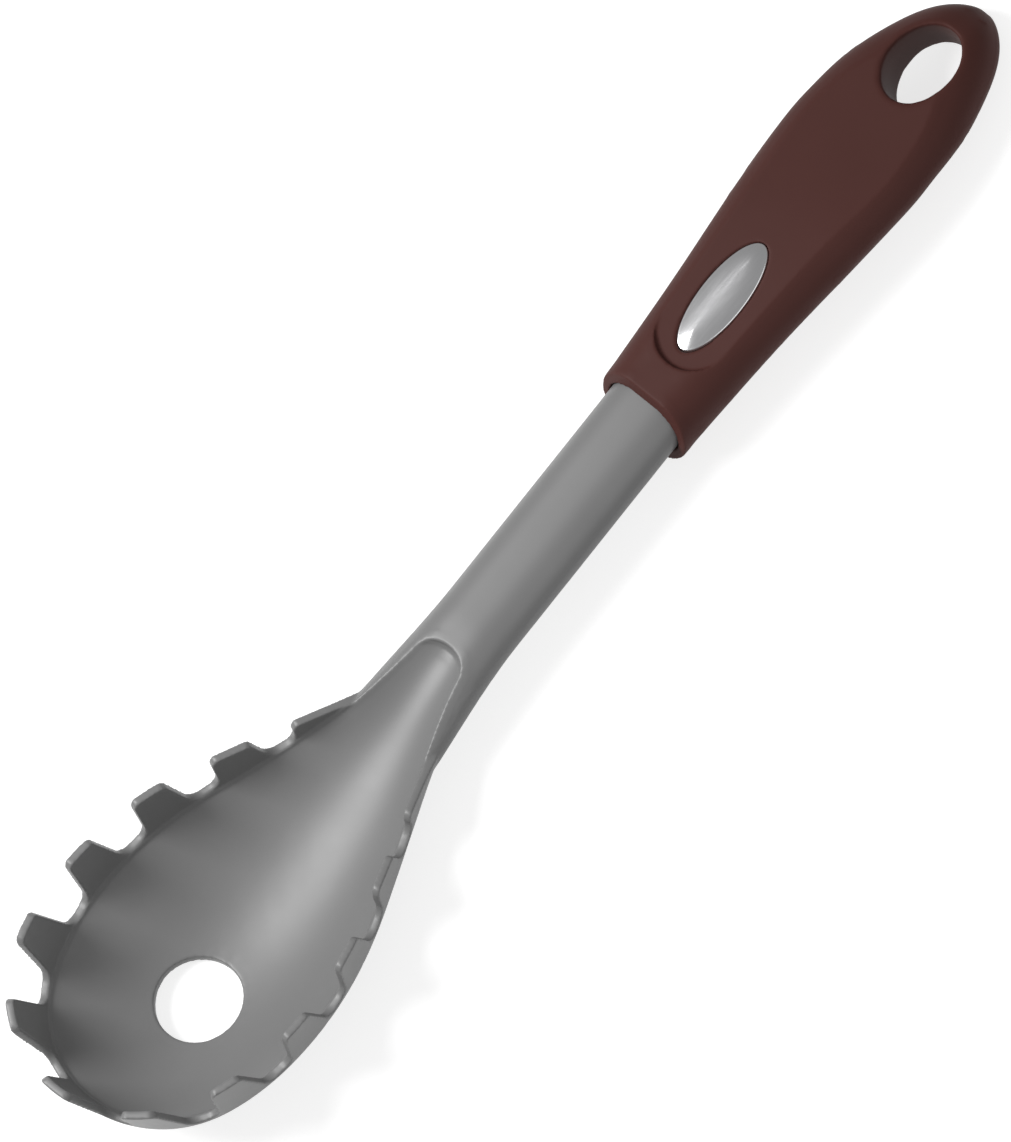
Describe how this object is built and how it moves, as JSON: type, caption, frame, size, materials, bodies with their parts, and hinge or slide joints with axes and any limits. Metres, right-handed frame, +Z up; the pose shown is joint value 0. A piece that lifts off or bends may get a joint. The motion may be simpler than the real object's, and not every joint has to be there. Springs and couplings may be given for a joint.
{
  "type": "pasta server",
  "caption": "Toothed spaghetti ladle: teardrop bowl with an upright toothed crown and a drain hole, plain stem, soft grip with a hang eye.",
  "frame": {"origin": "on the table under the middle of the tool's length, in its plane of symmetry", "axes": "+X from the bowl's tip to the hang eye, +Y to the left seen from the tip's end with the bowl up, +Z up out of the bowl"},
  "size_m": [0.312, 0.068, 0.0364],
  "materials": {
    "nylon": "satin",
    "core_plastic": "matte",
    "soft_touch": "matte soft touch",
    "bright_badge": "polished"
  },
  "bodies": {
    "root": {"head": "nylon", "handle_core": "core_plastic", "grip": "soft_touch", "badge": "bright_badge"}
  },
  "joints": []
}
